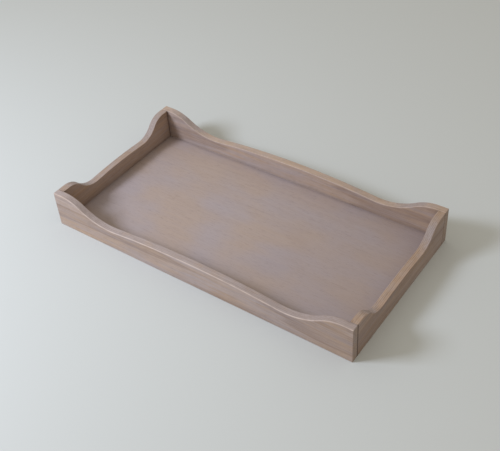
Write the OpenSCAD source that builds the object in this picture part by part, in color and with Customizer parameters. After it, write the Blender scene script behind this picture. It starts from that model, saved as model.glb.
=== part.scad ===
// Low wooden tray with a scalloped rim.
//
// Two long rails run the full length and two end boards stand between them.  Each board is cut to
// the same kind of outline: a flat raised corner, an S-curve down to a low point, and a shallow
// crown in the middle.  A thin bottom panel sits in a groove all round, and the corners are held
// by blind dowels.
//
// Origin: middle of the footprint, on the surface that the tray stands on.
// +X runs along the length, +Y across it towards the back rail, +Z up.

/* [Overall] */
// Length over the outer faces of the end boards
tray_l = 870; // [600:1:1200]
// Width over the outer faces of the long rails
tray_w = 454; // [340:1:700]
// Height of the four raised corners
tray_h = 102; // [85:1:150]
// Thickness of the rails and the end boards
board_t = 19; // [16:0.5:25]

/* [Long rail outline] */
// Flat top at each end of a rail, from the rail's end
rail_flat = 23; // [20:1:60]
// Length of each S-curve, measured along the rail
rail_sweep = 155; // [110:1:200]
// Height of the low point, at the foot of each S-curve
rail_low = 56; // [45:1:65]
// Height of the crown in the middle of the rail
rail_crown = 70; // [66:1:80]
// Share of the S-curve's radii that the upper, outward-bulging arc takes
rail_bulge = 0.40; // [0.25:0.01:0.7]

/* [End board outline] */
// Flat top at each corner, from the outer face of the long rail
end_flat = 38; // [32:1:60]
// Length of each S-curve, measured across the tray
end_sweep = 93; // [70:1:115]
// Height of the low point, at the foot of each S-curve
end_low = 58; // [45:1:60]
// Height of the crown in the middle of the end board
end_crown = 61; // [60.5:0.5:75]
// Share of the S-curve's radii that the upper, outward-bulging arc takes
end_bulge = 0.45; // [0.25:0.01:0.7]

/* [Bottom panel] */
// Thickness of the bottom panel
panel_t = 6; // [4:0.5:9]
// Height of the panel's underside above the boards' bottom edges
panel_lift = 10; // [8:0.5:14]
// Depth of the groove in the boards
groove_depth = 7; // [5:0.5:8]
// Room between the panel's edge and the foot of the groove, for movement
panel_gap = 1; // [0.5:0.5:2]
// Room above the panel in the groove
groove_fit = 0.2; // [0.1:0.05:0.4]

/* [Corner dowels] */
// Diameter of a dowel and of the hole that it is glued into
dowel_d = 8; // [6:1:10]
// Length of dowel inside the long rail
dowel_in_rail = 11; // [8:1:12]
// Length of dowel inside the end board
dowel_in_end = 19; // [14:1:26]
// Glue space at the foot of each dowel hole
dowel_glue_gap = 1; // [0.5:0.5:2]
// Chamfer on each tip of a dowel
dowel_tip = 1; // [0.5:0.5:1.5]
// Height of the lowest dowel's axis
dowel_base = 30; // [26:1:34]
// Distance from the top of the corner down to the highest dowel's axis
dowel_head = 20; // [14:1:24]
// Dowels in each corner
dowel_count = 3; // [2:1:3]

/* [Underside] */
// Cross battens glued under the panel
batten_count = 3; // [1:1:5]
// Width of a batten
batten_w = 50; // [30:1:60]
// Room between a batten's end and the rail
batten_gap = 0.5; // [0.2:0.1:1]
// Leg of the corner blocks, along the rail and along the end board
block_leg = 46; // [36:1:60]
// Blunt nose at each tip of a corner block
block_nose = 8; // [4:1:14]
// Height of the battens and the corner blocks above the surface below
under_gap = 1; // [0.5:0.5:3]

/* [Hidden] */
// Facets on the dowels and their holes
$fn = 64;
// Points along each arc of the rim
arc_steps = 20;

// Clear size between the boards
inside_l = tray_l - 2 * board_t;
inside_w = tray_w - 2 * board_t;
// Size of the panel and of the grooved outline around it
panel_l = inside_l + 2 * (groove_depth - panel_gap);
panel_w = inside_w + 2 * (groove_depth - panel_gap);
groove_l = inside_l + 2 * groove_depth;
groove_w = inside_w + 2 * groove_depth;
groove_h = panel_t + groove_fit;
// Thickness left for the pieces glued under the panel
under_t = panel_lift - under_gap;
// Place of the corner dowels
dowel_x = tray_l / 2 - board_t / 2;
dowel_seam = inside_w / 2;
dowel_pitch = (tray_h - dowel_head - dowel_base) / (dowel_count - 1);
// Spacing of the battens between the end boards
batten_pitch = inside_l / (batten_count + 1);
batten_l = inside_w - 2 * batten_gap;

wood = "#9d8b80";
wood_dark = "#8a766a";
wood_pale = "#b09e92";
birch = "#cdb894";

SIDES = [["left", -1], ["right", 1]];
FACES = [["front", -1], ["back", 1]];
LEVELS = [for (i = [0 : dowel_count - 1]) i];
DOWELS = [for (f = FACES, s = SIDES, i = LEVELS)
    [str("dowel_", f[0], "_", s[0], "_", i + 1), s[1], f[1], i]];
BATTENS = [for (i = [0 : batten_count - 1]) [str("batten_", i + 1), i]];
BLOCKS = [for (f = FACES, s = SIDES) [str("corner_block_", f[0], "_", s[0]), s[1], f[1]]];

// Points along an arc, after its first one.  Angles run from straight up where side is 1, and from
// straight down where side is -1; both turn towards +X.
function arc(x, z, r, from, to, side) =
    [for (i = [1 : arc_steps])
        let (turn = from + (to - from) * i / arc_steps)
            [x + r * sin(turn), z + side * r * cos(turn)]];

// The rim from the middle of a board to the start of its flat corner: a crown arc, a low concave
// arc and an upper convex arc, each tangent to the next.
function half_rim(curve_out, sweep, low, crown, bulge) =
    let (
        curve_in = curve_out - sweep,
        rise = tray_h - low,
        camber = crown - low,
        // the two arcs of the S-curve, whose radii add up to this
        sweep_r = (sweep * sweep + rise * rise) / (2 * rise),
        upper_r = bulge * sweep_r,
        lower_r = sweep_r - upper_r,
        // the crown's arc and the low arc, whose radii add up to this
        crown_sum = (curve_in * curve_in + camber * camber) / (2 * camber),
        crown_r = crown_sum - lower_r,
        // slopes at which they pass into each other
        steep = asin(sweep / sweep_r),
        shallow = asin(curve_in / crown_sum))
    concat(
        arc(0, crown - crown_r, crown_r, 0, shallow, 1),
        arc(curve_in, low + lower_r, lower_r, -shallow, steep, -1),
        arc(curve_out, tray_h - upper_r, upper_r, -steep, 0, 1));

// A whole board's outline, standing on its bottom edge
module outline(half, curve_out, sweep, low, crown, bulge) {
    rim = half_rim(curve_out, sweep, low, crown, bulge);
    last = len(rim) - 1;
    polygon(concat(
        [[0, crown]],
        rim,
        [[half, tray_h], [half, 0], [-half, 0], [-half, tray_h]],
        [for (i = [0 : last]) [-rim[last - i][0], rim[last - i][1]]]));
}

// The space that the panel's grooves take, all round
module grooves() {
    translate([-groove_l / 2, -groove_w / 2, panel_lift])
        cube([groove_l, groove_w, groove_h]);
}

// Height of one dowel's axis
function dowel_z(level) = dowel_base + level * dowel_pitch;

// A corner dowel's axis: runs along Y from its deepest point in the end board
module at_dowel(side, face, level) {
    translate([side * dowel_x, face * dowel_seam, dowel_z(level)])
        rotate([-face * 90, 0, 0])
            children();
}

// Blind holes for every dowel, in the rail and in the end board together
module dowel_holes() {
    for (d = DOWELS)
        at_dowel(d[1], d[2], d[3])
            translate([0, 0, -dowel_in_end - dowel_glue_gap])
                cylinder(h = dowel_in_end + dowel_in_rail + 2 * dowel_glue_gap, d = dowel_d);
}

// A long rail; face is -1 at the front and +1 at the back
module long_rail(face) {
    outer = face * tray_w / 2;
    difference() {
        translate([0, max(outer, outer - face * board_t), 0])
            rotate([90, 0, 0])
                linear_extrude(board_t)
                    outline(tray_l / 2, tray_l / 2 - rail_flat, rail_sweep,
                        rail_low, rail_crown, rail_bulge);
        grooves();
        dowel_holes();
    }
}

// An end board, standing between the rails; side is -1 at the left and +1 at the right
module end_board(side) {
    outer = side * tray_l / 2;
    difference() {
        translate([min(outer, outer - side * board_t), 0, 0])
            rotate([90, 0, 90])
                linear_extrude(board_t)
                    outline(inside_w / 2, tray_w / 2 - end_flat, end_sweep,
                        end_low, end_crown, end_bulge);
        grooves();
        dowel_holes();
    }
}

module front_rail() {
    color(wood)
        long_rail(-1);
}

module back_rail() {
    color(wood)
        long_rail(1);
}

module left_end() {
    color(wood_dark)
        end_board(-1);
}

module right_end() {
    color(wood_dark)
        end_board(1);
}

module bottom_panel() {
    color(wood_pale)
        translate([-panel_l / 2, -panel_w / 2, panel_lift])
            cube([panel_l, panel_w, panel_t]);
}

// A flat batten across the underside, glued to the panel
module batten(i) {
    middle = -inside_l / 2 + (i + 1) * batten_pitch;
    color(birch)
        translate([middle - batten_w / 2, -batten_l / 2, under_gap])
            cube([batten_w, batten_l, under_t]);
}

// A glue block in an inside corner, under the panel
module corner_block(side, face) {
    color(birch)
        translate([side * inside_l / 2, face * inside_w / 2, under_gap])
            scale([-side, -face, 1])
                linear_extrude(under_t)
                    polygon([[0, 0], [block_leg, 0], [block_leg, block_nose],
                        [block_nose, block_leg], [0, block_leg]]);
}

// A corner dowel with a chamfer at each tip
module corner_dowel(side, face, level) {
    barrel = dowel_in_end + dowel_in_rail - 2 * dowel_tip;
    tip_d = dowel_d - 2 * dowel_tip;
    color(birch)
        at_dowel(side, face, level)
            translate([0, 0, -dowel_in_end]) {
                cylinder(h = dowel_tip, d1 = tip_d, d2 = dowel_d);
                translate([0, 0, dowel_tip])
                    cylinder(h = barrel, d = dowel_d);
                translate([0, 0, dowel_tip + barrel])
                    cylinder(h = dowel_tip, d1 = dowel_d, d2 = tip_d);
            }
}

front_rail();
back_rail();
left_end();
right_end();
bottom_panel();
for (b = BATTENS) batten(b[1]);
for (b = BLOCKS) corner_block(b[1], b[2]);
for (d = DOWELS) corner_dowel(d[1], d[2], d[3]);
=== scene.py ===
"""A low wooden tray with a scalloped rim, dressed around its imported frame.

Four stained boards, a grooved-in panel, battens, glue blocks and fluted dowels.  Every piece takes
its place and size from the frame.  The sizes that the frame doesn't hold, which are those of the
rim, the groove, the dowels' tips and the glue blocks' tips, are repeated in their classes.
All lengths are in metres.
"""
import logging
import math
from dataclasses import dataclass, field, replace
from enum import Enum

import bpy
import numpy as np
from mathutils import Matrix, Vector


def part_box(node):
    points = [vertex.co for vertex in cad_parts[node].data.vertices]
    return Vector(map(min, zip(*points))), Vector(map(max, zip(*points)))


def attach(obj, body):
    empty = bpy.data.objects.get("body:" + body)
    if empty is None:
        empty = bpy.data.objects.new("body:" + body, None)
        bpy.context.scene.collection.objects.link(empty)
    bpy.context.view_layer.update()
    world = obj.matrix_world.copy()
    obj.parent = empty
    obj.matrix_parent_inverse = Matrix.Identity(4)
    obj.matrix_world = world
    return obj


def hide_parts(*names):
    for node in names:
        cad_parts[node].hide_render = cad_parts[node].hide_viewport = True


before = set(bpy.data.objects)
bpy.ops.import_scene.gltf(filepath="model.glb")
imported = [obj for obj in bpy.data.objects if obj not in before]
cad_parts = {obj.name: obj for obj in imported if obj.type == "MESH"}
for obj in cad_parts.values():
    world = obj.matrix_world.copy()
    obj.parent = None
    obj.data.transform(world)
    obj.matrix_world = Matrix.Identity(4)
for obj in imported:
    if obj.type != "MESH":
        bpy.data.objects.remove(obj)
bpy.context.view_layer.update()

ROOT = "root"
MM = 0.001
# Faces that meet at more than this, in degrees, keep a sharp line between them
SHARP_ANGLE = 40

Triple = tuple[float, float, float]
Colour = Triple
log = logging.getLogger("tray")


class Facing(Enum):
    """The side of the tray that a board's outer face looks to, as a turn about Z in degrees."""

    FRONT = 0
    RIGHT = 90
    BACK = 180
    LEFT = 270


class Grain(Enum):
    """The direction that a piece's wood fibres run in, as a turn about Z in degrees."""

    LENGTHWISE = 0
    CROSSWISE = 90


class Slot(Enum):
    """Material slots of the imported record."""

    BOARD = "stained_board"
    PANEL = "stained_panel"
    SOFTWOOD = "raw_softwood"
    DOWEL = "raw_dowel"


# --------------------------------------------------------------------------------------------
# Shapes
# --------------------------------------------------------------------------------------------


@dataclass(frozen=True)
class Rim:
    """The upper edge of a board, the same on both sides of its middle.

    Attributes:
        top: height of the flat corner.
        flat_start: distance from the middle at which the flat corner starts.
        sweep: length of the S-curve, measured along the board.
        low: height of the low point at the foot of the S-curve.
        crown: height of the rim in the middle.
        bulge: share of the S-curve's radii that its upper, convex arc takes.
    """

    top: float
    flat_start: float
    sweep: float
    low: float
    crown: float
    bulge: float

    STEP = 0.5 * MM

    def height(self, along: np.ndarray) -> np.ndarray:
        """Height of the rim at each distance from the middle.

        Three arcs, each tangent to the next: a wide crown arc about a point far below the middle,
        a concave arc that stands on the low point, and a convex arc that hangs from the flat
        corner.  Each height is the arc's centre plus or minus the root of radius squared less
        the distance from that centre squared.

        Args:
            along: signed distances from the board's middle.

        Returns:
            Heights, one for each distance.
        """
        run = np.abs(along)
        inner = self.flat_start - self.sweep
        rise = self.top - self.low
        camber = self.crown - self.low
        sweep_r = (self.sweep**2 + rise**2) / (2 * rise)
        upper_r = self.bulge * sweep_r
        lower_r = sweep_r - upper_r
        crown_sum = (inner**2 + camber**2) / (2 * camber)
        crown_r = crown_sum - lower_r
        turn = inner + self.sweep * lower_r / sweep_r
        foot = inner * crown_r / crown_sum

        on_crown = np.minimum(run, foot)
        on_lower = np.clip(run, foot, turn) - inner
        on_upper = np.clip(run, turn, self.flat_start) - self.flat_start
        crown_arc = self.crown - crown_r + np.sqrt(crown_r**2 - on_crown**2)
        lower_arc = self.low + lower_r - np.sqrt(lower_r**2 - on_lower**2)
        upper_arc = self.top - upper_r + np.sqrt(upper_r**2 - on_upper**2)
        return np.select(
            [run < foot, run < turn, run < self.flat_start],
            [crown_arc, lower_arc, upper_arc],
            self.top,
        )

    def slope(self, along: np.ndarray) -> np.ndarray:
        """How far the rim cuts across the fibres: the sine of its slope.

        The slope is the difference in height a short step either way, over twice the step.

        Args:
            along: signed distances from the board's middle.

        Returns:
            Values from 0 where the rim is level up to 1 where it is upright.
        """
        rise = (self.height(along + self.STEP) - self.height(along - self.STEP)) / (2 * self.STEP)
        return np.abs(rise) / np.hypot(1, rise)


@dataclass(frozen=True)
class Groove:
    """A groove in a board's inner face that holds the panel.

    Attributes:
        low: height of its lower side.
        high: height of its upper side.
        depth: how deep it is cut.
        reach: how far it runs from the board's middle; beyond that the face is whole.
    """

    low: float
    high: float
    depth: float
    reach: float


@dataclass(frozen=True)
class Easing:
    """Radii of a plank's softened edges, and how much paler or darker each upper edge is drawn:
    rubbed and in painted highlight, or in painted shade.

    Attributes:
        outer: radius along the upper outer edge.
        inner: radius along the upper inner edge.
        lower: radius along the two lower edges.
        ends: radius down the outer side of each end.
        end_rest: share of that radius on the end's other sides.
        outer_wear_and_painted_light: how much paler the upper outer edge is drawn, from 0 to 1,
            rubbed back and in painted highlight where it faces the light, or how much darker,
            from 0 to -1, in painted shade where it faces away from the light.
        inner_wear_and_painted_light: the same for the upper inner edge.
    """

    outer: float
    inner: float
    lower: float
    ends: float
    end_rest: float = 1.0
    outer_wear_and_painted_light: float = 0.0
    inner_wear_and_painted_light: float = 0.0


@dataclass
class Surface:
    """A closed mesh as arrays.

    Attributes:
        points: vertex places, one row each.
        quads: faces as rows of four vertex numbers.
        ngons: any further faces, with other than four corners.
        masks: named values between 0 and 1, one for each vertex, that the finishes read.  They
            are arris (a rubbed edge, partly a painted highlight), rim (the sawn top), end_grain
            (how far a face cuts the fibres) and seam (eased edges at butt joints, where the stain
            collects, and painted shade along edges that face away from the light).
    """

    points: np.ndarray
    quads: np.ndarray
    ngons: tuple[tuple[int, ...], ...] = ()
    masks: dict[str, np.ndarray] = field(default_factory=dict)

    def to_object(self, name: str) -> bpy.types.Object:
        """Makes the surface an object at the origin, with its place in its mesh.

        Args:
            name: the piece's name.

        Returns:
            The new object, shaded smooth across its softened edges.
        """
        mesh = bpy.data.meshes.new(name)
        mesh.from_pydata(self.points, [], [*self.quads.tolist(), *self.ngons])
        for label, values in self.masks.items():
            layer = mesh.attributes.new(label, "FLOAT", "POINT")
            layer.data.foreach_set("value", values.ravel().astype(np.float32))
        mesh.shade_smooth()
        mesh.set_sharp_from_angle(angle=math.radians(SHARP_ANGLE))
        mesh.validate()
        piece = bpy.data.objects.new(name, mesh)
        bpy.context.scene.collection.objects.link(piece)
        return piece


def skin(number: np.ndarray) -> np.ndarray:
    """Faces that join neighbouring rings of vertices.

    Args:
        number: vertex numbers, a row for each ring.

    Returns:
        Rows of four: a vertex, the next one round its ring, then those two on the next ring.
    """
    ahead = np.roll(number, -1, axis=1)
    return np.stack([number[:-1], ahead[:-1], ahead[1:], number[1:]], axis=-1).reshape(-1, 4)


@dataclass
class Plank:
    """A plank with softened edges, swept along its length.

    Attributes:
        node: the CAD node that the plank stands for, which gives its place and size.
        facing: the way its outer face looks.
        easing: radii of its softened edges.
        rim: its upper edge, or None where that is straight.
        groove: the groove in its inner face, or None.
        seamed: True where its ends butt against other boards in plain view.
        spacing: distance between the sections that it is swept through.
    """

    node: str
    facing: Facing
    easing: Easing
    rim: Rim | None = None
    groove: Groove | None = None
    seamed: bool = False
    spacing: float = 3 * MM

    ARC_STEPS = 5
    END_STEPS = 4
    # rings this far inside each edge keep the flat faces flat
    SUPPORT = 0.8 * MM
    # a groove that stops inside the board runs out from full depth to none over this length
    STOP_STEP = 0.2 * MM
    # where there is no groove, its lines on the face stand this far inside its sides
    GROOVE_INSET = 1 * MM
    # an edge keeps at least this share of its radius where the end is drawn in
    LEAST_RADIUS = 0.25
    # a section drawn in by more than this share of the end's radius belongs to the end face
    END_SHARE = 0.9
    # the sawn top fades out over this share of the outer edge's radius
    TOP_FADE = 0.5

    def __post_init__(self) -> None:
        """Reads the plank's place and size from its CAD node."""
        low, high = (np.array(corner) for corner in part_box(self.node))
        size = high - low
        runs_along_x = self.facing in (Facing.FRONT, Facing.BACK)
        self.length, self.thickness = (size[0], size[1]) if runs_along_x else (size[1], size[0])
        self.foot = low[2]
        self.top = high[2]
        self.middle = (low + high)[:2] / 2

    def stations(self) -> tuple[np.ndarray, np.ndarray, np.ndarray]:
        """Sections that the plank is swept through, from one end to the other.

        Between its ends they are evenly spaced.  Each end is a quarter round: at angle a from its
        start, a section stands at radius times sine a further on, and is drawn in by radius times
        one less cosine a.  A last ring inside the end face keeps that face flat.

        Returns:
            Distances from the middle, how far each section is drawn in, and a mask of the ends.
        """
        half = self.length / 2
        radius = self.easing.ends
        start = half - radius - self.SUPPORT
        count = max(2, math.ceil(2 * start / self.spacing) + 1)
        plain = np.linspace(-start, start, count)
        if self.groove and self.groove.reach < start:
            marks = np.array([self.groove.reach - self.STOP_STEP, self.groove.reach])
            clear = np.abs(np.abs(plain) - self.groove.reach) > 2 * self.STOP_STEP
            plain = np.sort(np.concatenate([plain[clear], marks, -marks]))

        angle = np.linspace(0, math.pi / 2, self.END_STEPS + 1)
        round_at = np.append(half - radius + radius * np.sin(angle), half)
        round_in = np.append(radius - radius * np.cos(angle), radius + self.SUPPORT)
        none = np.zeros_like(plain)
        one = np.ones_like(round_at)
        return (
            np.concatenate([-round_at[::-1], plain, round_at]),
            np.concatenate([round_in[::-1], none, round_in]),
            np.concatenate([one, none, one]),
        )

    def half_section(
        self, top: np.ndarray, drawn_in: np.ndarray, cut: np.ndarray, inner: bool
    ) -> tuple[np.ndarray, np.ndarray, np.ndarray]:
        """One side of every section, from the middle of its foot up to the middle of its top.

        Each edge is a quarter round about a centre one radius in from both faces.  A groove that
        runs out through an end opens there by as much as the end is drawn in.

        Args:
            top: height of each section.
            drawn_in: how far each section is drawn in, down its outer side.
            cut: depth of the groove at each section.
            inner: True for the side that carries the groove.

        Returns:
            Distances from the side's face, heights, and how much paler or darker the upper edge is
            drawn, rubbed and in painted highlight or in painted shade, a row for each section.
        """
        ease = self.easing
        rest = drawn_in * ease.end_rest
        inset = rest if inner else drawn_in
        radius = ease.inner if inner else ease.outer
        # how much paler or darker the upper edge is drawn: above 0 rubbed and in painted highlight,
        # below 0 in painted shade
        wear_and_painted_light = ease.inner_wear_and_painted_light if inner else ease.outer_wear_and_painted_light
        foot = self.foot + rest
        peak = top - rest
        lower = np.maximum(ease.lower - inset, self.LEAST_RADIUS * ease.lower)
        upper = np.maximum(radius - inset, self.LEAST_RADIUS * radius)
        turn = np.linspace(0, math.pi / 2, self.ARC_STEPS + 1)
        near, far = 1 - np.sin(turn), 1 - np.cos(turn)
        arc_wear_and_painted_light = wear_and_painted_light * np.sin(2 * turn)
        one = np.ones_like(inset)[:, None]

        depth = [
            (inset + lower + self.SUPPORT)[:, None],
            inset[:, None] + lower[:, None] * near,
            inset[:, None],
        ]
        height = [
            foot[:, None],
            foot[:, None] + lower[:, None] * far,
            (foot + lower + self.SUPPORT)[:, None],
        ]
        if self.groove:
            opened = rest * (cut > 0) * inner
            low, high = self.groove.low - opened, self.groove.high + opened
            step = self.GROOVE_INSET * (1 - (cut > 0) * inner)
            floor = np.where(cut > 0, cut + rest, inset) if inner else inset
            depth += [inset[:, None], floor[:, None], floor[:, None], inset[:, None]]
            height += [low[:, None], (low + step)[:, None], (high - step)[:, None], high[:, None]]
        depth += [
            inset[:, None],
            inset[:, None] + upper[:, None] * near[::-1],
            (inset + upper + self.SUPPORT)[:, None],
        ]
        height += [
            (peak - upper - self.SUPPORT)[:, None],
            peak[:, None] - upper[:, None] * far[::-1],
            peak[:, None],
        ]
        flats = (6 if self.groove else 2) + len(turn) + 1
        return np.hstack(depth), np.hstack(height), one * [*np.zeros(flats), *arc_wear_and_painted_light, 0]

    def surface(self) -> Surface:
        """The whole plank: sections joined into a skin, with a ladder of faces over each end.

        Returns:
            The closed surface, in its place in the frame.
        """
        along, inset, at_end = self.stations()
        top = self.rim.height(along) if self.rim else np.full_like(along, self.top)
        cut = np.zeros_like(along)
        if self.groove:
            cut = np.where(np.abs(along) < self.groove.reach, self.groove.depth, 0.0)
        depth_in, z_in, wear_and_painted_light_in = self.half_section(top, inset, cut, inner=True)
        depth_out, z_out, wear_and_painted_light_out = self.half_section(top, inset, cut, inner=False)

        # once round each section: up the inner side, then down the outer side
        across = np.hstack([self.thickness - depth_in, depth_out[:, ::-1]])
        z = np.hstack([z_in, z_out[:, ::-1]])
        sections, ring = across.shape
        peak = (top - inset * self.easing.end_rest)[:, None]
        on_top = np.clip(1 - (peak - z) / (self.TOP_FADE * self.easing.outer), 0, 1)
        slope = self.rim.slope(along) if self.rim else np.zeros_like(along)
        at_face = inset > self.END_SHARE * self.easing.ends
        face = np.maximum(at_face[:, None], slope[:, None] * on_top)
        wear_and_painted_light = np.hstack([wear_and_painted_light_in, wear_and_painted_light_out[:, ::-1]])

        turn = math.radians(self.facing.value)
        side = across - self.thickness / 2
        s = np.broadcast_to(along[:, None], across.shape)
        x = self.middle[0] + s * math.cos(turn) - side * math.sin(turn)
        y = self.middle[1] + s * math.sin(turn) + side * math.cos(turn)

        number = np.arange(sections * ring).reshape(sections, ring)
        rungs = ring // 2
        up, down = number[:, :rungs], number[:, :rungs - 1:-1]
        ladder = np.stack([up[:, :-1], up[:, 1:], down[:, 1:], down[:, :-1]], axis=-1)
        # the outermost two rungs at the foot and at the top share one six-sided face
        caps = []
        for i, step in ((-1, 1), (0, -1)):
            for rung in ((2, 1, 0), (-1, -2, -3)):
                cap = [*down[i, list(rung)].tolist(), *up[i, list(rung[::-1])].tolist()]
                caps.append(tuple(cap[::step]))
        return Surface(
            points=np.stack([x, y, z], axis=-1).reshape(-1, 3),
            quads=np.concatenate([skin(number), ladder[-1][2:-2], ladder[0][2:-2, ::-1]]),
            ngons=tuple(caps),
            masks={
                # arris: rubbed edges, partly a painted highlight on the edges that face the light
                "arris": np.maximum(wear_and_painted_light, 0),
                "rim": on_top * bool(self.rim),
                "end_grain": face,
                # seam: stain collected at the butt joints, and painted shade on edges that face away
                # from the light
                "seam_and_edge_shade": np.maximum(at_end[:, None] * (1 - on_top) * self.seamed, -wear_and_painted_light),
            },
        )


@dataclass
class GlueBlock:
    """A five-sided block in an inside corner, sawn square and with its long edges broken.

    Attributes:
        node: the CAD node that the block stands for.
        nose: width of its two blunt tips.
        chamfer: size of the broken edges.
    """

    node: str
    nose: float = 8 * MM
    chamfer: float = 0.7 * MM

    CORNERS = 5

    def outline(self, low: np.ndarray, high: np.ndarray, inset: float) -> np.ndarray:
        """The block's outline, drawn in by a distance on every side.

        Args:
            low: lowest corner of the block's box.
            high: highest corner of the block's box.
            inset: the distance.

        Returns:
            Five points, anticlockwise from above.
        """
        leg = high[0] - low[0] - inset
        # the slant face moves in along both legs by the inset times one plus root two
        slant = inset * (1 + math.sqrt(2))
        nose = self.nose - slant + inset
        corner = np.array(
            [[inset, inset], [leg, inset], [leg, nose], [nose, leg], [inset, leg]]
        )
        middle = (low + high) / 2
        flip = np.where(middle[:2] > 0, -1.0, 1.0)
        start = np.where(middle[:2] > 0, high[:2], low[:2])
        points = start + corner * flip
        return points if flip[0] * flip[1] > 0 else points[::-1]

    def surface(self) -> Surface:
        """Four outlines stacked up, drawn in at the foot and the top, and closed by two faces.

        Returns:
            The closed surface, in its place in the frame.
        """
        low, high = (np.array(corner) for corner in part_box(self.node))
        levels = [low[2], low[2] + self.chamfer, high[2] - self.chamfer, high[2]]
        insets = [self.chamfer, 0.0, 0.0, self.chamfer]
        rings = [
            np.column_stack([self.outline(low, high, inset), np.full(self.CORNERS, level)])
            for level, inset in zip(levels, insets)
        ]
        number = np.arange(len(levels) * self.CORNERS).reshape(len(levels), self.CORNERS)
        return Surface(
            points=np.concatenate(rings),
            quads=skin(number),
            ngons=(tuple(number[0][::-1].tolist()), tuple(number[-1].tolist())),
        )


@dataclass
class FlutedDowel:
    """A dowel pin with pressed flutes, which let the glue out of its hole.

    Attributes:
        node: the CAD node that the dowel stands for.
        flutes: how many flutes it has.
        flute_depth: how deep each is pressed.
        tip: size of the chamfer at each tip.
    """

    node: str
    flutes: int = 16
    flute_depth: float = 0.25 * MM
    tip: float = 1 * MM

    AROUND = 96

    def surface(self) -> Surface:
        """A round profile carried along the dowel's axis, which lies along Y.

        The radius is the dowel's own, less the flute depth times the fourth power of the cosine
        of half the flutes times the angle, less the chamfer within one tip length of each end.
        Each end is closed by a fan about a point on the axis.

        Returns:
            The closed surface, in its place in the frame.
        """
        low, high = (np.array(corner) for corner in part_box(self.node))
        middle = (low + high) / 2
        radius = (high[2] - low[2]) / 2
        half = (high[1] - low[1]) / 2
        along = np.array([-half, -half + self.tip, half - self.tip, half])
        drawn_in = np.array([self.tip, 0.0, 0.0, self.tip])
        angle = np.arange(self.AROUND) * 2 * math.pi / self.AROUND
        flute = self.flute_depth * np.cos(0.5 * self.flutes * angle) ** 4
        reach = radius - drawn_in[:, None] - flute
        x = middle[0] + reach * np.sin(angle)
        z = middle[2] + reach * np.cos(angle)
        y = middle[1] + np.broadcast_to(along[:, None], reach.shape)
        rings = np.stack([x, y, z], axis=-1).reshape(-1, 3)
        tips = np.array([[middle[0], middle[1] - half, middle[2]],
                         [middle[0], middle[1] + half, middle[2]]])

        number = np.arange(reach.size).reshape(reach.shape)
        ahead = np.roll(number, -1, axis=1)
        first, last = reach.size, reach.size + 1
        fans = [(first, b, a) for a, b in zip(number[0].tolist(), ahead[0].tolist())]
        fans += [(last, a, b) for a, b in zip(number[-1].tolist(), ahead[-1].tolist())]
        return Surface(
            points=np.concatenate([rings, tips]),
            quads=skin(number),
            ngons=tuple(fans),
            masks={"end_grain": np.append(np.zeros(reach.size), [1.0, 1.0])},
        )


# --------------------------------------------------------------------------------------------
# Finishes
# --------------------------------------------------------------------------------------------

Input = bpy.types.NodeSocket | float
Outputs = bpy.types.NodeOutputs


@dataclass(frozen=True)
class Figure:
    """A noise pattern in the log.

    Attributes:
        cells: noise cells to a metre along each axis of the log, whose fibres run along the first.
        detail: how many finer octaves lie over it.
        roughness: how strong each octave is beside the one before.
        edges: the noise values at which its mask is 0 and 1.
    """

    cells: Triple
    detail: float
    roughness: float = 0.5
    edges: tuple[float, float] = (0.3, 0.7)


WANDER = Figure((1.3, 4.0, 4.0), 2.0)
UNEVEN = Figure((0.9, 25.0, 25.0), 1.0)
STREAK = Figure((9.0, 110.0, 110.0), 3.0, 0.55)
FIBRE = Figure((9.0, 330.0, 330.0), 4.0, 0.62, (0.28, 0.72))
PORES = Figure((60.0, 1400.0, 1400.0), 1.0, edges=(0.6, 0.74))
PATCH = Figure((5.5, 8.0, 8.0), 2.0, 0.45, (0.34, 0.66))
MOTTLE = Figure((38.0, 60.0, 60.0), 3.0, 0.6)
BROKEN = Figure((45.0, 45.0, 45.0), 3.0, edges=(0.3, 0.62))
# Rubbed edges, which also carry a painted highlight, are lightened between this much and fully
BROKEN_WEAR_AND_HIGHLIGHT = (0.45, 1.0)
# How many ring pitches the uneven years can move a ring by
UNEVEN_RINGS = 1.6
# Parts of a ring's width between which late wood comes in and ends
LATE_IN = (0.25, 0.88)
LATE_OUT = (0.9, 1.0)


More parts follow.
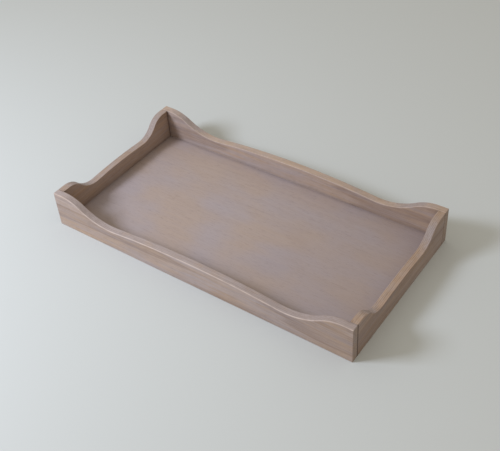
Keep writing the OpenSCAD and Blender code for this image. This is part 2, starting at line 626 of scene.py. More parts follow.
class Sheet:
    """A node tree being drawn, with short ways to add nodes and join them."""

    def __init__(self, tree: bpy.types.NodeTree) -> None:
        """Starts on an empty tree.

        Args:
            tree: the node tree to draw on.
        """
        self.tree = tree
        tree.nodes.clear()

    def add(self, kind: str, **settings: object) -> bpy.types.Node:
        """Adds a node and sets its properties.

        Args:
            kind: the node's type, without its ShaderNode prefix.
            **settings: properties of the node.

        Returns:
            The new node.
        """
        node = self.tree.nodes.new(kind if kind.startswith("Node") else "ShaderNode" + kind)
        for name, value in settings.items():
            setattr(node, name, value)
        return node

    def join(self, source: object, socket: bpy.types.NodeSocket) -> None:
        """Links a socket into another, or sets a plain value on it.

        Args:
            source: an output socket, or a value.
            socket: the input socket.
        """
        if isinstance(source, bpy.types.NodeSocket):
            self.tree.links.new(source, socket)
        else:
            socket.default_value = source

    def math(self, operation: str, a: Input, b: Input = 0.0) -> bpy.types.NodeSocket:
        """A Math node on two inputs; returns its output."""
        node = self.add("Math", operation=operation)
        self.join(a, node.inputs[0])
        self.join(b, node.inputs[1])
        return node.outputs[0]

    def scale(self, vector: bpy.types.NodeSocket, by: Triple) -> bpy.types.NodeSocket:
        """A vector multiplied by a factor along each axis."""
        node = self.add("VectorMath", operation="MULTIPLY")
        self.join(vector, node.inputs[0])
        node.inputs[1].default_value = by
        return node.outputs[0]

    def noise(self, vector: bpy.types.NodeSocket, figure: Figure) -> bpy.types.Node:
        """A 3D noise node that draws a figure."""
        node = self.add("TexNoise", noise_dimensions="3D")
        self.join(self.scale(vector, figure.cells), node.inputs["Vector"])
        node.inputs["Scale"].default_value = 1.0
        node.inputs["Detail"].default_value = figure.detail
        node.inputs["Roughness"].default_value = figure.roughness
        return node

    def pattern(
        self, vector: bpy.types.NodeSocket, figure: Figure, low: Input = 0.0, high: Input = 1.0
    ) -> bpy.types.NodeSocket:
        """A figure's mask, which rises from low to high between its edges."""
        return self.ramp(self.noise(vector, figure).outputs[0], *figure.edges, low, high)

    def ramp(
        self, value: Input, start: float, end: float, low: Input = 0.0, high: Input = 1.0
    ) -> bpy.types.NodeSocket:
        """A smooth step from low to high as a value goes from start to end."""
        node = self.add("MapRange", interpolation_type="SMOOTHSTEP")
        self.join(value, node.inputs["Value"])
        node.inputs["From Min"].default_value = start
        node.inputs["From Max"].default_value = end
        self.join(low, node.inputs["To Min"])
        self.join(high, node.inputs["To Max"])
        return node.outputs["Result"]

    def mix(self, share: Input, a: object, b: object, blend: str = "MIX") -> bpy.types.NodeSocket:
        """Two colours mixed by a share; each is a socket or an RGBA value."""
        node = self.add("Mix", data_type="RGBA", blend_type=blend)
        self.join(share, node.inputs[0])
        self.join(a, node.inputs[6])
        self.join(b, node.inputs[7])
        return node.outputs[2]

    def mask(self, label: str) -> bpy.types.NodeSocket:
        """A mask that the piece's mesh carries; it is 0 where the mesh has none."""
        return self.add("Attribute", attribute_name=label).outputs["Fac"]

    def group(self, tree: bpy.types.NodeTree, **inputs: object) -> bpy.types.Node:
        """Places a node group and joins its named inputs; underscores stand for spaces."""
        node = self.add("Group", node_tree=tree)
        for name, source in inputs.items():
            self.join(source, node.inputs[name.replace("_", " ")])
        return node


def new_group(
    name: str, inputs: dict[str, object], outputs: tuple[str, ...]
) -> tuple[bpy.types.NodeTree, Sheet, bpy.types.Node, bpy.types.Node]:
    """Starts a shader node group.

    Args:
        name: the group's name.
        inputs: input names, each with its default; None makes a vector input.
        outputs: names of the group's outputs, all of them masks between 0 and 1.

    Returns:
        The group, a sheet on it, its input node and its output node.
    """
    tree = bpy.data.node_groups.new(name, "ShaderNodeTree")
    for label, default in inputs.items():
        kind = "NodeSocketVector" if default is None else "NodeSocketFloat"
        socket = tree.interface.new_socket(label, in_out="INPUT", socket_type=kind)
        if default is not None:
            socket.default_value = default
    for label in outputs:
        tree.interface.new_socket(label, in_out="OUTPUT", socket_type="NodeSocketFloat")
    sheet = Sheet(tree)
    return tree, sheet, sheet.add("NodeGroupInput"), sheet.add("NodeGroupOutput")


def timber_group() -> bpy.types.NodeTree:
    """The solid pattern of sawn wood, with its fibres along X.

    Growth rings are shells about a pith line along X, waved by slow noise: the ring number is the
    distance from that line over the ring pitch, and late wood fills the outer part of each ring.
    Streaks, fibres and pores are noise drawn out along X, each finer than the last.

    Returns:
        The node group.
    """
    tree, sheet, given, made = new_group(
        "timber_pattern",
        {"Position": None, "Ring Pitch": 4 * MM, "Waver": 10 * MM},
        ("Late Wood", "Streak", "Fibre", "Pores"),
    )
    position = given.outputs["Position"]
    slow = sheet.noise(position, WANDER)
    centred = sheet.add("VectorMath", operation="SUBTRACT")
    sheet.join(slow.outputs["Color"], centred.inputs[0])
    centred.inputs[1].default_value = (0.5, 0.5, 0.5)
    waved = sheet.add("VectorMath", operation="SCALE")
    sheet.join(centred.outputs[0], waved.inputs[0])
    sheet.join(given.outputs["Waver"], waved.inputs["Scale"])
    moved = sheet.add("VectorMath", operation="ADD")
    sheet.join(position, moved.inputs[0])
    sheet.join(waved.outputs[0], moved.inputs[1])
    radial = sheet.add("VectorMath", operation="LENGTH")
    sheet.join(sheet.scale(moved.outputs[0], (0.0, 1.0, 1.0)), radial.inputs[0])
    uneven = sheet.noise(position, UNEVEN)
    ring = sheet.math("DIVIDE", radial.outputs["Value"], given.outputs["Ring Pitch"])
    ring = sheet.math("ADD", ring, sheet.math("MULTIPLY", uneven.outputs[0], UNEVEN_RINGS))
    part = sheet.math("FRACT", ring)
    rising = sheet.ramp(part, *LATE_IN)
    falling = sheet.ramp(part, *LATE_OUT)
    sheet.join(sheet.math("SUBTRACT", rising, falling), made.inputs["Late Wood"])

    for label, figure in (("Streak", STREAK), ("Fibre", FIBRE), ("Pores", PORES)):
        sheet.join(sheet.pattern(position, figure), made.inputs[label])
    return tree


def bloom_group() -> bpy.types.NodeTree:
    """Slow patches where a wiped stain lies warmer or cooler, and a fine mottle over them.

    Returns:
        The node group.
    """
    tree, sheet, given, made = new_group(
        "stain_bloom", {"Position": None}, ("Patch", "Mottle")
    )
    for label, figure in (("Patch", PATCH), ("Mottle", MOTTLE)):
        sheet.join(sheet.pattern(given.outputs["Position"], figure), made.inputs[label])
    return tree


def wear_and_painted_light_group() -> bpy.types.NodeTree:
    """Where a softened edge is rubbed back to paler wood, with a painted highlight, broken up along
    its length.

    Returns:
        The node group.
    """
    tree, sheet, given, made = new_group(
        "arris_wear_and_highlight", {"Position": None, "Arris": 0.0}, ("Wear And Highlight",)
    )
    patchy = sheet.pattern(given.outputs["Position"], BROKEN, *BROKEN_WEAR_AND_HIGHLIGHT)
    sheet.join(sheet.math("MULTIPLY", given.outputs["Arris"], patchy), made.inputs["Wear And Highlight"])
    return tree


def corner_shade_group() -> bpy.types.NodeTree:
    """Painted shade in the tray's inside corners.

    The mask falls from 1 to 0 with the distance from the nearest of the inside corner lines.
    With a, b and c for the signed distances inwards from the end boards' faces, from the rails'
    faces and up from the panel, each line lies where two of them are nought.  Its distance is
    the root of those two squared, plus the square of the third one where that is negative,
    because the lines stop at the tray's inside.

    Returns:
        The node group.
    """
    tree, sheet, given, made = new_group(
        "painted_corner_shade",
        {"Position": None, "Half Length": 0.4, "Half Width": 0.2, "Bed": 0.016, "Reach": 5 * MM},
        ("Corner Shade",),
    )
    split = sheet.add("SeparateXYZ")
    sheet.join(given.outputs["Position"], split.inputs[0])
    away = [
        sheet.math("SUBTRACT", given.outputs["Half Length"],
                   sheet.math("ABSOLUTE", split.outputs["X"])),
        sheet.math("SUBTRACT", given.outputs["Half Width"],
                   sheet.math("ABSOLUTE", split.outputs["Y"])),
        sheet.math("SUBTRACT", split.outputs["Z"], given.outputs["Bed"]),
    ]
    square = [sheet.math("MULTIPLY", value, value) for value in away]
    beyond = [sheet.math("MINIMUM", value, 0.0) for value in away]
    beyond = [sheet.math("MULTIPLY", value, value) for value in beyond]
    lines = [
        sheet.math("ADD", sheet.math("ADD", square[i], square[j]), beyond[k])
        for i, j, k in ((0, 2, 1), (1, 2, 0), (0, 1, 2))
    ]
    nearest = sheet.math("MINIMUM", sheet.math("MINIMUM", lines[0], lines[1]), lines[2])
    share = sheet.math("DIVIDE", sheet.math("SQRT", nearest), given.outputs["Reach"])
    sheet.join(sheet.ramp(share, 0.0, 1.0, 1.0, 0.0), made.inputs["Corner Shade"])
    return tree


@dataclass(frozen=True)
class Stock:
    """How a piece was sawn from its log, which moves the grain pattern through it.

    Attributes:
        grain: the direction of its fibres.
        pith: how far from the log's middle the tray's origin lies, across the fibres: sideways
            and upwards.
        shift: how far along the log the piece was cut.
        ring_pitch: distance between growth rings.
        waver: how far the rings wander along the log.
        rim_warmth: how warm its sawn top came out, from 0 to 1.
    """

    grain: Grain
    pith: tuple[float, float]
    shift: float
    ring_pitch: float = 4 * MM
    waver: float = 14 * MM
    rim_warmth: float = 0.5

    def further(
        self, count: int, sideways: float = 0.0, upwards: float = 0.0, along: float = 1.0
    ) -> "Stock":
        """The stock of a like piece, cut a number of steps further on.

        Args:
            count: how many steps.
            sideways: how far sideways from the log's middle each step goes.
            upwards: how far upwards from it each step goes.
            along: how far along the log each step goes.

        Returns:
            The stock.
        """
        pith = (self.pith[0] + sideways * count, self.pith[1] + upwards * count)
        return replace(self, pith=pith, shift=self.shift + along * count)


@dataclass(frozen=True)
class Palette:
    """The colours of a wood finish, as linear RGB.

    Attributes:
        cool: the cooler patches.
        warm: the warmer patches.
        late: late wood, fibres and pores.
    """

    cool: Colour
    warm: Colour
    late: Colour

    def toned(self, tone: Colour) -> "Palette":
        """The same palette under a deeper stain, which multiplies every colour."""
        return Palette(*(
            tuple(a * b for a, b in zip(shade, tone)) for shade in (self.cool, self.warm, self.late)
        ))


@dataclass(frozen=True)
class EdgeColours:
    """The colours of a board's sawn top and rubbed edges, which carry a painted highlight, as linear
    RGB.

    Attributes:
        cool: the cooler patches of the sawn top.
        warm: the warmer patches of the sawn top.
        bare: rubbed edges, with their painted highlight.
    """

    cool: Colour
    warm: Colour
    bare: Colour


@dataclass(frozen=True)
class WoodFinish:
    """A wood surface, bare or under a wiped stain and a thin matt lacquer.

    Attributes:
        name: plain name of the finish.
        slot: the record's material slot; it is not used.
        palette: its colours.
        patch: share that patches have in the colour, beside the streaks.
        ring: share that late wood has in the colour.
        fibre: depth of the fine streaks.
        corner_shade: how much darker the inside corners are, painted shade.
        soak: how much darker the end grain is.
        tone_and_falloff_shade: how much darker the right end is than the left, painted shade of the
            light falling off, partly the stain's own tone.
        end_band_and_shadow: how much darker it is in a band beside the end boards, a painted shadow
            of the end boards and partly a guess at the stain.
        roughness: lowest and highest roughness.
        relief: height of the open grain.
        edges: its colours on a sawn top and on rubbed edges with their painted highlight, or None
            where it has neither.
    """

    name: str
    slot: Slot
    palette: Palette
    patch: float
    ring: float
    fibre: float
    roughness: tuple[float, float]
    relief: float
    edges: EdgeColours | None = None
    corner_shade: float = 0.0
    soak: float = 0.0
    tone_and_falloff_shade: float = 0.0
    end_band_and_shadow: float = 0.0

    RIM_SHARE = 0.8
    RIM_MOTTLE = 0.6
    RIM_ACROSS = 1.8
    SEAM_AND_EDGE_SHADE_SHARE = 0.85
    MOTTLE_SHARE = 0.35
    PORE_SHARE = 0.35
    # weight of the late wood where the fibre mask is 0 and where it is 1
    LATE_RANGE = (0.55, 1.0)
    # how bright deep stain and painted shade are, and then pores, as shares of the late wood's
    # colour
    DEEP_STAIN_AND_SHADE = 0.45
    PORE_DARK = 0.5
    # reach of the painted shade in the inside corners
    CORNER_SHADE_REACH = 12 * MM
    # reach of the darker band beside the end boards, painted shadow and stain
    END_BAND_AND_SHADOW_REACH = 60 * MM
    # the darkening towards the right end, painted shade and tone, starts at this place along the
    # tray
    TONE_AND_FALLOFF_SHADE_START = -0.1
    # a weak highlight, as on bare wood or under thin matt lacquer
    IOR = 1.47
    SPECULAR = 0.35
    BUMP = 0.35
    LATE_RELIEF = 0.3

    def material(self, piece: str, stock: Stock, groups: "EffectGroups") -> bpy.types.Material:
        """Builds the finish for one piece.

        Args:
            piece: the piece's name, which the material's name carries.
            stock: how the piece was sawn.
            groups: the shared effects.

        Returns:
            The material.
        """
        material = bpy.data.materials.new(f"{self.name}_{piece}")
        material.use_nodes = True
        sheet = Sheet(material.node_tree)
        place = sheet.add("TexCoord").outputs["Object"]
        sawn = sheet.add("Mapping", vector_type="POINT")
        sawn.inputs["Rotation"].default_value = (0.0, 0.0, -math.radians(stock.grain.value))
        sawn.inputs["Location"].default_value = (stock.shift, *stock.pith)
        sheet.join(place, sawn.inputs["Vector"])
        position = sawn.outputs["Vector"]
        timber = sheet.group(
            groups.timber, Position=position, Ring_Pitch=stock.ring_pitch, Waver=stock.waver
        ).outputs
        bloom = sheet.group(groups.bloom, Position=position).outputs

        colour = self.stain(sheet, timber, bloom, stock)
        colour = self.age(sheet, colour, place, position, groups)
        shader = sheet.add("BsdfPrincipled")
        shader.inputs["IOR"].default_value = self.IOR
        shader.inputs["Specular IOR Level"].default_value = self.SPECULAR
        sheet.join(colour, shader.inputs["Base Color"])
        gloss = sheet.ramp(timber["Fibre"], 0.1, 0.9, *self.roughness)
        sheet.join(gloss, shader.inputs["Roughness"])
        height = sheet.math("SUBTRACT", timber["Fibre"], timber["Pores"])
        late = sheet.math("MULTIPLY", timber["Late Wood"], self.LATE_RELIEF)
        height = sheet.math("SUBTRACT", height, late)
        bump = sheet.add("Bump")
        bump.inputs["Strength"].default_value = self.BUMP
        bump.inputs["Distance"].default_value = self.relief
        sheet.join(height, bump.inputs["Height"])
        sheet.join(bump.outputs["Normal"], shader.inputs["Normal"])
        output = sheet.add("OutputMaterial")
        sheet.join(shader.outputs["BSDF"], output.inputs["Surface"])
        return material

    def stain(
        self, sheet: Sheet, timber: Outputs, bloom: Outputs, stock: Stock
    ) -> bpy.types.NodeSocket:
        """The stained wood: patches and streaks, the sawn top, late wood, fibres and pores.

        Args:
            sheet: the material's sheet.
            timber: outputs of the timber group.
            bloom: outputs of the bloom group.
            stock: how the piece was sawn.

        Returns:
            The colour.
        """
        shade = self.palette
        tint = sheet.math("MULTIPLY", bloom["Patch"], self.patch)
        tint = sheet.math("ADD", tint, sheet.math("MULTIPLY", timber["Streak"], 1 - self.patch))
        colour = sheet.mix(tint, (*shade.cool, 1), (*shade.warm, 1))
        if self.edges:
            across = sheet.math("MULTIPLY", sheet.mask("end_grain"), self.RIM_ACROSS)
            tint = sheet.math("MULTIPLY", bloom["Mottle"], self.RIM_MOTTLE)
            # the mottle varies the warmth to both sides of the board's own
            tint = sheet.math("ADD", tint, stock.rim_warmth - self.RIM_MOTTLE / 2)
            tint = sheet.math("SUBTRACT", tint, across)
            sawn_top = sheet.mix(tint, (*self.edges.cool, 1), (*self.edges.warm, 1))
            share = sheet.math("MULTIPLY", sheet.mask("rim"), self.RIM_SHARE)
            colour = sheet.mix(share, colour, sawn_top)
        late = sheet.math("MULTIPLY", timber["Late Wood"], self.ring)
        late = sheet.math(
            "MULTIPLY", late, sheet.ramp(timber["Fibre"], 0.0, 1.0, *self.LATE_RANGE)
        )
        colour = sheet.mix(late, colour, (*shade.late, 1))
        fine = sheet.math("MULTIPLY", timber["Fibre"], self.fibre)
        mottle = sheet.math("MULTIPLY", bloom["Mottle"], self.MOTTLE_SHARE * self.fibre)
        fine = sheet.math("ADD", fine, mottle)
        colour = sheet.mix(fine, colour, (*shade.late, 1))
        pores = sheet.math("MULTIPLY", timber["Pores"], self.PORE_SHARE)
        return sheet.mix(pores, colour, (*(self.PORE_DARK * v for v in shade.late), 1))

    def age(
        self, sheet: Sheet, colour: bpy.types.NodeSocket, place: bpy.types.NodeSocket,
        position: bpy.types.NodeSocket, groups: "EffectGroups",
    ) -> bpy.types.NodeSocket:
        """Where the stain soaks in further and edges are rubbed, and painted light: shade in the
        inside corners, along edges that face away from the light, towards the right end and
        beside the end boards, the last two partly the stain's own tone, and a highlight on
        edges that face the light.

        Args:
            sheet: the material's sheet.
            colour: the stained colour.
            place: place in the tray.
            position: place in the log.
            groups: the shared effects.

        Returns:
            The colour.
        """
        late = (*self.palette.late, 1)
        deep_stain_and_shade = (*(self.DEEP_STAIN_AND_SHADE * v for v in self.palette.late), 1)
        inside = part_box("right_end")[0].x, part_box("back_rail")[0].y
        # end grain soaks up more stain; the seam mask darkens butt joints, and edges that face away
        # from the light as painted shade
        if self.soak:
            soaked = sheet.math("MULTIPLY", sheet.mask("end_grain"), self.soak)
            seam_and_edge_shade = sheet.math("MULTIPLY", sheet.mask("seam_and_edge_shade"), self.SEAM_AND_EDGE_SHADE_SHARE)
            colour = sheet.mix(sheet.math("MAXIMUM", soaked, seam_and_edge_shade), colour, deep_stain_and_shade)
        # painted shade along the inside corners
        if self.corner_shade:
            corner_shaded = sheet.group(
                groups.corner_shade, Position=place, Half_Length=inside[0], Half_Width=inside[1],
                Bed=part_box("bottom_panel")[1].z, Reach=self.CORNER_SHADE_REACH,
            ).outputs["Corner Shade"]
            colour = sheet.mix(sheet.math("MULTIPLY", corner_shaded, self.corner_shade), colour, deep_stain_and_shade)
        if self.tone_and_falloff_shade or self.end_band_and_shadow:
            split = sheet.add("SeparateXYZ")
            sheet.join(place, split.inputs[0])
            x = split.outputs["X"]
        # darker towards the right end: painted shade of the light falling off, partly the stain's
        # own tone
        if self.tone_and_falloff_shade:
            end = sheet.ramp(x, self.TONE_AND_FALLOFF_SHADE_START, inside[0], 0.0, self.tone_and_falloff_shade)
            colour = sheet.mix(end, colour, late)
        # a darker band beside the end boards: painted shadow of the end boards, partly the stain's
        # own tone
        if self.end_band_and_shadow:
            start = inside[0] - self.END_BAND_AND_SHADOW_REACH
            band = sheet.ramp(sheet.math("ABSOLUTE", x), start, inside[0], 0.0, self.end_band_and_shadow)
            colour = sheet.mix(band, colour, late)
        # rubbed edges turn paler, partly a painted highlight on the edges that face the light
        if self.edges:
            wear_and_painted_light = sheet.group(groups.wear_and_painted_light, Position=position, Arris=sheet.mask("arris"))
            colour = sheet.mix(wear_and_painted_light.outputs["Wear And Highlight"], colour, (*self.edges.bare, 1))
        return colour


@dataclass
class EffectGroups:
    """The shader effects that the finishes share."""

    timber: bpy.types.NodeTree
    bloom: bpy.types.NodeTree
    wear_and_painted_light: bpy.types.NodeTree
    corner_shade: bpy.types.NodeTree

    @classmethod
    def build(cls) -> "EffectGroups":
        """Builds each effect once."""
        return cls(timber_group(), bloom_group(), wear_and_painted_light_group(), corner_shade_group())


BOARD_PALETTE = Palette(
    cool=(0.430, 0.365, 0.368),
    warm=(0.475, 0.342, 0.258),
    late=(0.220, 0.148, 0.118),
)
BOARD_EDGES = EdgeColours(
    cool=(0.455, 0.385, 0.382),
    warm=(0.630, 0.465, 0.350),
    bare=(0.590, 0.475, 0.415),
)

RAIL_STAIN = WoodFinish(
    name="rail_stain",
    slot=Slot.BOARD,
    palette=BOARD_PALETTE,
    edges=BOARD_EDGES,
    patch=0.35,
    ring=0.48,
    fibre=0.28,
    roughness=(0.55, 0.68),
    relief=0.25 * MM,
    # painted shade in the inside corners
    corner_shade=0.22,
    soak=0.20,
    # darker towards the right end: painted shade, partly the stain's own tone
    tone_and_falloff_shade=0.15,
)

END_STAIN = replace(
    RAIL_STAIN,
    name="end_stain",
    palette=BOARD_PALETTE.toned((0.87, 0.82, 0.77)),
    edges=replace(BOARD_EDGES, cool=(0.445, 0.378, 0.368), warm=(0.510, 0.355, 0.250)),
    tone_and_falloff_shade=0.0,
)

PANEL_STAIN = WoodFinish(
    name="panel_stain",
    slot=Slot.PANEL,
    palette=Palette(
        cool=(0.400, 0.338, 0.352),
        warm=(0.430, 0.332, 0.288),
        late=(0.235, 0.178, 0.168),
    ),
    patch=0.85,
    ring=0.07,
    fibre=0.09,
    roughness=(0.40, 0.50),
    relief=0.06 * MM,
    # painted shade in the inside corners
    corner_shade=0.25,
    # darker towards the right end: painted shade, partly the stain's own tone
    tone_and_falloff_shade=0.30,
    # darker beside the end boards: painted shadow, partly the stain's own tone
    end_band_and_shadow=0.12,
)

RAW_SOFTWOOD = WoodFinish(
    name="raw_softwood",
    slot=Slot.SOFTWOOD,
    palette=Palette(
        cool=(0.640, 0.470, 0.300),
        warm=(0.690, 0.500, 0.310),
        late=(0.480, 0.280, 0.130),
    ),
    patch=0.4,
    ring=0.55,
    fibre=0.15,
    roughness=(0.60, 0.75),
    relief=0.2 * MM,
    soak=0.1,
)

RAW_DOWEL = WoodFinish(
    name="raw_beech",
    slot=Slot.DOWEL,
    palette=Palette(
        cool=(0.660, 0.500, 0.340),
        warm=(0.640, 0.450, 0.290),
        late=(0.470, 0.300, 0.180),
    ),
    patch=0.5,
    ring=0.15,
    fibre=0.2,
    roughness=(0.55, 0.68),
    relief=0.1 * MM,
    soak=0.1,
)


def put_in(piece: bpy.types.Object, node: str, finish: WoodFinish, stock: Stock,
           groups: EffectGroups) -> None:
    """Dresses a finished piece and puts it in the frame in place of its CAD node.

    Args:
        piece: the piece.
        node: the CAD node that it stands for.
        finish: its finish.
        stock: how it was sawn.
        groups: the shared effects.
    """
    piece.data.materials.append(finish.material(node, stock, groups))
    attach(piece, ROOT)
    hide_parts(node)
    log.info("%s: %d faces in %s", piece.name, len(piece.data.polygons), finish.name)


# --------------------------------------------------------------------------------------------
# Sub-assemblies
# --------------------------------------------------------------------------------------------


@dataclass
class Boards:
    """The two long rails and the two end boards.

    Attributes:
        rail_flat: flat top at each end of a rail.
        rail_sweep: length of a rail's S-curves.
        rail_low: height of a rail's low points.
        rail_crown: height of a rail's middle.
        rail_bulge: share of a rail's S-curve radii that the upper arc takes.
        end_flat: flat top of the corner along an end board, from the rail's outer face.
        end_sweep: length of an end board's S-curves.
        end_low: height of an end board's low points.
        end_crown: height of an end board's middle.
        end_bulge: share of an end board's S-curve radii that the upper arc takes.
        groove_depth: depth of the groove that the panel stands in.
        groove_fit: room above the panel in its groove.
        front_easing: softened edges of the front rail, paler along the outside, rubbed and in
            painted highlight, and darker along the inside, in painted shade.
        back_easing: softened edges of the back rail, paler along the inside, rubbed and in
            painted highlight, and darker along the outside, in painted shade.
        end_easing: softened edges of the end boards, which are rounder where they meet the rails.
    """

    rail_flat: float = 23 * MM
    rail_sweep: float = 155 * MM
    rail_low: float = 56 * MM
    rail_crown: float = 70 * MM
    rail_bulge: float = 0.40
    end_flat: float = 38 * MM
    end_sweep: float = 93 * MM
    end_low: float = 58 * MM
    end_crown: float = 61 * MM
    end_bulge: float = 0.45
    groove_depth: float = 7 * MM
    groove_fit: float = 0.2 * MM
    # above 0 an edge is drawn paler, rubbed and in painted highlight; below 0 it is drawn darker, in
    # painted shade
    front_easing: Easing = Easing(
        outer=2.4 * MM, inner=1.6 * MM, lower=1.0 * MM, ends=1.2 * MM, outer_wear_and_painted_light=0.80,
        inner_wear_and_painted_light=-0.60,
    )
    back_easing: Easing = Easing(
        outer=1.4 * MM, inner=1.7 * MM, lower=1.0 * MM, ends=1.2 * MM, outer_wear_and_painted_light=-0.50,
        inner_wear_and_painted_light=0.50,
    )
    end_easing: Easing = Easing(
        outer=1.2 * MM, inner=1.2 * MM, lower=1.0 * MM, ends=2.6 * MM, end_rest=0.15,
        outer_wear_and_painted_light=0.10, inner_wear_and_painted_light=0.15,
    )

    def groove(self, reach: float) -> Groove:
        """The groove round the panel, running a distance either way from a board's middle."""
        low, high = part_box("bottom_panel")
        return Groove(low.z, high.z + self.groove_fit, self.groove_depth, reach)

    def rail_rim(self) -> Rim:
        """The rim of a long rail, in the frame's height and length."""
        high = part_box("front_rail")[1]
        return Rim(high.z, high.x - self.rail_flat, self.rail_sweep, self.rail_low,
                   self.rail_crown, self.rail_bulge)

    def end_rim(self) -> Rim:
        """The rim of an end board, in the frame's height and width."""
        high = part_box("back_rail")[1]
        return Rim(high.z, high.y - self.end_flat, self.end_sweep, self.end_low,
                   self.end_crown, self.end_bulge)

    def build(self, groups: EffectGroups) -> None:
        """Builds and dresses all four boards.

        Args:
            groups: the shared effects.
        """
        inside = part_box("right_end")[0].x
        rail_groove = self.groove(inside + self.groove_depth)
        end_groove = self.groove(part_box("right_end")[1].y + MM)
        rails = (
            Plank("front_rail", Facing.FRONT, self.front_easing, self.rail_rim(), rail_groove),
            Plank("back_rail", Facing.BACK, self.back_easing, self.rail_rim(), rail_groove),
        )
        ends = (
            Plank("left_end", Facing.LEFT, self.end_easing, self.end_rim(), end_groove,
                  seamed=True),
            Plank("right_end", Facing.RIGHT, self.end_easing, self.end_rim(), end_groove,
                  seamed=True),
        )
        rail_stock = (
            Stock(Grain.LENGTHWISE, (0.62, -0.045), 2.3, rim_warmth=0.12),
            Stock(Grain.LENGTHWISE, (-0.52, -0.045), 8.3, rim_warmth=0.85),
        )
        end_stock = (
            Stock(Grain.CROSSWISE, (-0.70, -0.060), 17.4, rim_warmth=0.45),
            Stock(Grain.CROSSWISE, (0.76, -0.025), 22.0, rim_warmth=0.95),
        )
        for finish, planks, stocks in (
            (RAIL_STAIN, rails, rail_stock), (END_STAIN, ends, end_stock)
        ):
            for plank, stock in zip(planks, stocks):
                piece = plank.surface().to_object("stained_" + plank.node)
                put_in(piece, plank.node, finish, stock, groups)


@dataclass
class Bed:
    """The bottom panel, with the battens and glue blocks under it.

    Attributes:
        panel_easing: softened edges of the panel.
        batten_easing: softened edges of the battens.
        panel_stock: how the panel was sawn.
        batten_stock: how the first batten was sawn.
        batten_step: how much further sideways in the log each next batten was cut.
        block_stock: how the first glue block was sawn.
        block_step: how much further up in the log each next block was cut.
        spacing: distance between the sections of the panel and the battens.
    """

    panel_easing: Easing = Easing(outer=0.5 * MM, inner=0.5 * MM, lower=0.5 * MM, ends=0.5 * MM)
    batten_easing: Easing = Easing(outer=0.8 * MM, inner=0.8 * MM, lower=1.2 * MM, ends=0.6 * MM)
    panel_stock: Stock = Stock(
        Grain.LENGTHWISE, (0.05, 0.60), 7.2, ring_pitch=7 * MM, waver=60 * MM
    )
    batten_stock: Stock = Stock(Grain.CROSSWISE, (0.07, 0.06), 1.0)
    batten_step: float = -0.05
    block_stock: Stock = Stock(Grain.LENGTHWISE, (0.05, 0.03), 4.0)
    block_step: float = 0.01
    spacing: float = 20 * MM

    def build(self, groups: EffectGroups) -> None:
        """Builds and dresses the panel, the battens and the blocks.

        Args:
            groups: the shared effects.
        """
        panel = Plank("bottom_panel", Facing.FRONT, self.panel_easing, spacing=self.spacing)
        put_in(panel.surface().to_object("stained_panel"), panel.node, PANEL_STAIN,
               self.panel_stock, groups)
        nodes = sorted(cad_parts)
        for i, node in enumerate(n for n in nodes if n.startswith("batten_")):
            batten = Plank(node, Facing.RIGHT, self.batten_easing, spacing=self.spacing)
            stock = self.batten_stock.further(i, sideways=self.batten_step)
            put_in(batten.surface().to_object("planed_" + node), node, RAW_SOFTWOOD,
                   stock, groups)
        for i, node in enumerate(n for n in nodes if n.startswith("corner_block_")):
            stock = self.block_stock.further(i, upwards=self.block_step)
            put_in(GlueBlock(node).surface().to_object("sawn_" + node), node, RAW_SOFTWOOD,
                   stock, groups)


@dataclass
class CornerDowels:
    """The blind dowels that hold the corners together.

    Attributes:
        stock: how the first dowel was cut.
        step: how far along the rod each next one was cut.
    """

    stock: Stock = Stock(Grain.CROSSWISE, (0.02, 0.01), 0.0, ring_pitch=2 * MM)
    step: float = 0.4

    def build(self, groups: EffectGroups) -> None:
        """Builds and dresses every dowel.

        Args:
            groups: the shared effects.
        """
        nodes = sorted(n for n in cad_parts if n.startswith("dowel_"))
        for i, node in enumerate(nodes):
            stock = self.stock.further(i, along=self.step)
            put_in(FlutedDowel(node).surface().to_object("fluted_" + node), node, RAW_DOWEL,
                   stock, groups)


@dataclass(frozen=True)
class Softbox:
    """A soft square light.

    Attributes:
        name: its name.
        place: where it stands.
        size: length of its side.
        power: its power in watts.
        colour: its colour.
    """

    name: str
    place: Triple
    size: float
    power: float
    colour: Colour = (1.0, 1.0, 1.0)

    def build(self) -> None:
        """Makes the light and turns it to the tray's middle."""
        data = bpy.data.lights.new(self.name, "AREA")
        data.size = self.size
        data.energy = self.power
        data.color = self.colour
        lamp = bpy.data.objects.new(self.name, data)
        lamp.location = self.place
        lamp.rotation_euler = (-Vector(self.place)).to_track_quat("-Z", "Y").to_euler()
        bpy.context.scene.collection.objects.link(lamp)


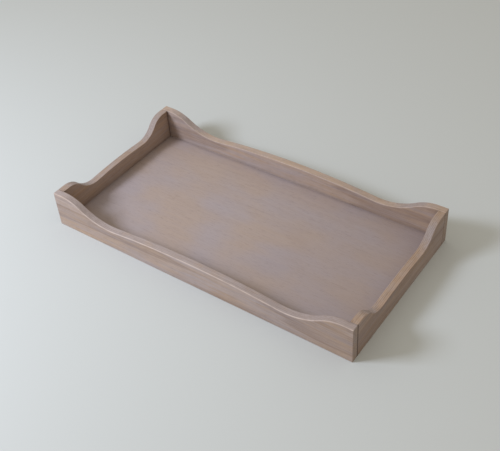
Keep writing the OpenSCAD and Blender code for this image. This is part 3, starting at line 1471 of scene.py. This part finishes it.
@dataclass
class Studio:
    """A plain pale floor, soft window-like light and the camera.

    Attributes:
        floor_side: side of the square floor.
        floor_drop: how far the floor lies below the boards' bottom edges.
        floor_colour: its colour.
        sky: colour of the light from all round.
        sky_strength: strength of that light.
        camera_place: where the camera stands.
        azimuth: which way round the tray it stands, in degrees.
        elevation: how far it looks down, in degrees.
        roll: how far it is tilted, in degrees.
        lens: focal length in millimetres.
        frame_width: width of the camera's frame in millimetres.
        view_depth: how far the camera sees.
        window: the broad soft light from the front left.
    """

    floor_side: float = 14.0
    floor_drop: float = 0.2 * MM
    floor_colour: Colour = (0.600, 0.615, 0.612)
    sky: Colour = (1.000, 0.947, 0.826)
    sky_strength: float = 0.575
    camera_place: Triple = (1.006, -1.279, 1.460)
    azimuth: float = 37.93
    elevation: float = 41.52
    roll: float = -4.46
    lens: float = 62.14
    frame_width: float = 36.0
    view_depth: float = 50.0
    window: Softbox = Softbox("window_light", (-1.522, -1.649, 1.674), 0.8, 60.0,
                              (0.787, 0.864, 1.000))

    def build(self) -> None:
        """Builds the floor, the lights and the camera."""
        self.add_floor()
        self.add_light()
        self.add_camera()

    def add_floor(self) -> None:
        """Lays the floor, in even pale grey."""
        half, level = self.floor_side / 2, -self.floor_drop
        corners = [(x, y, level) for x, y in ((-half, -half), (half, -half), (half, half),
                                              (-half, half))]
        mesh = bpy.data.meshes.new("floor")
        mesh.from_pydata(corners, [], [(0, 1, 2, 3)])
        floor = bpy.data.objects.new("floor", mesh)
        bpy.context.scene.collection.objects.link(floor)
        material = bpy.data.materials.new("pale_floor")
        material.use_nodes = True
        shader = material.node_tree.nodes["Principled BSDF"]
        shader.inputs["Base Color"].default_value = (*self.floor_colour, 1)
        shader.inputs["Roughness"].default_value = 1.0
        shader.inputs["Specular IOR Level"].default_value = 0.0
        mesh.materials.append(material)

    def add_light(self) -> None:
        """Sets the light from all round and one broad soft light from the front left."""
        scene = bpy.context.scene
        scene.view_settings.view_transform = "Standard"
        world = bpy.data.worlds.new("room")
        world.use_nodes = True
        background = world.node_tree.nodes["Background"]
        background.inputs["Color"].default_value = (*self.sky, 1)
        background.inputs["Strength"].default_value = self.sky_strength
        scene.world = world
        self.window.build()

    def add_camera(self) -> None:
        """Sets up the camera from its place, the two angles of its axis and its roll.

        The camera's back points along (sin a cos e, -cos a cos e, sin e) for azimuth a and
        elevation e, its right lies level, and both turn about the back by the roll.
        """
        azimuth, elevation, roll = (
            math.radians(v) for v in (self.azimuth, self.elevation, self.roll)
        )
        level = math.cos(elevation)
        back = Vector((math.sin(azimuth) * level, -math.cos(azimuth) * level,
                       math.sin(elevation)))
        right = Vector((math.cos(azimuth), math.sin(azimuth), 0.0))
        up = back.cross(right)
        rolled_right = right * math.cos(roll) + up * math.sin(roll)
        rolled_up = up * math.cos(roll) - right * math.sin(roll)
        data = bpy.data.cameras.new("camera")
        data.sensor_fit = "HORIZONTAL"
        data.sensor_width = self.frame_width
        data.lens = self.lens
        data.clip_end = self.view_depth
        camera = bpy.data.objects.new("camera", data)
        turn = Matrix((rolled_right, rolled_up, back)).transposed().to_4x4()
        camera.matrix_world = Matrix.Translation(self.camera_place) @ turn
        bpy.context.scene.collection.objects.link(camera)
        bpy.context.scene.camera = camera


def main() -> None:
    logging.basicConfig(level=logging.INFO, format="%(message)s")
    Studio().build()
    groups = EffectGroups.build()
    Boards().build(groups)
    Bed().build(groups)
    CornerDowels().build(groups)


if __name__ == "__main__":
    main()
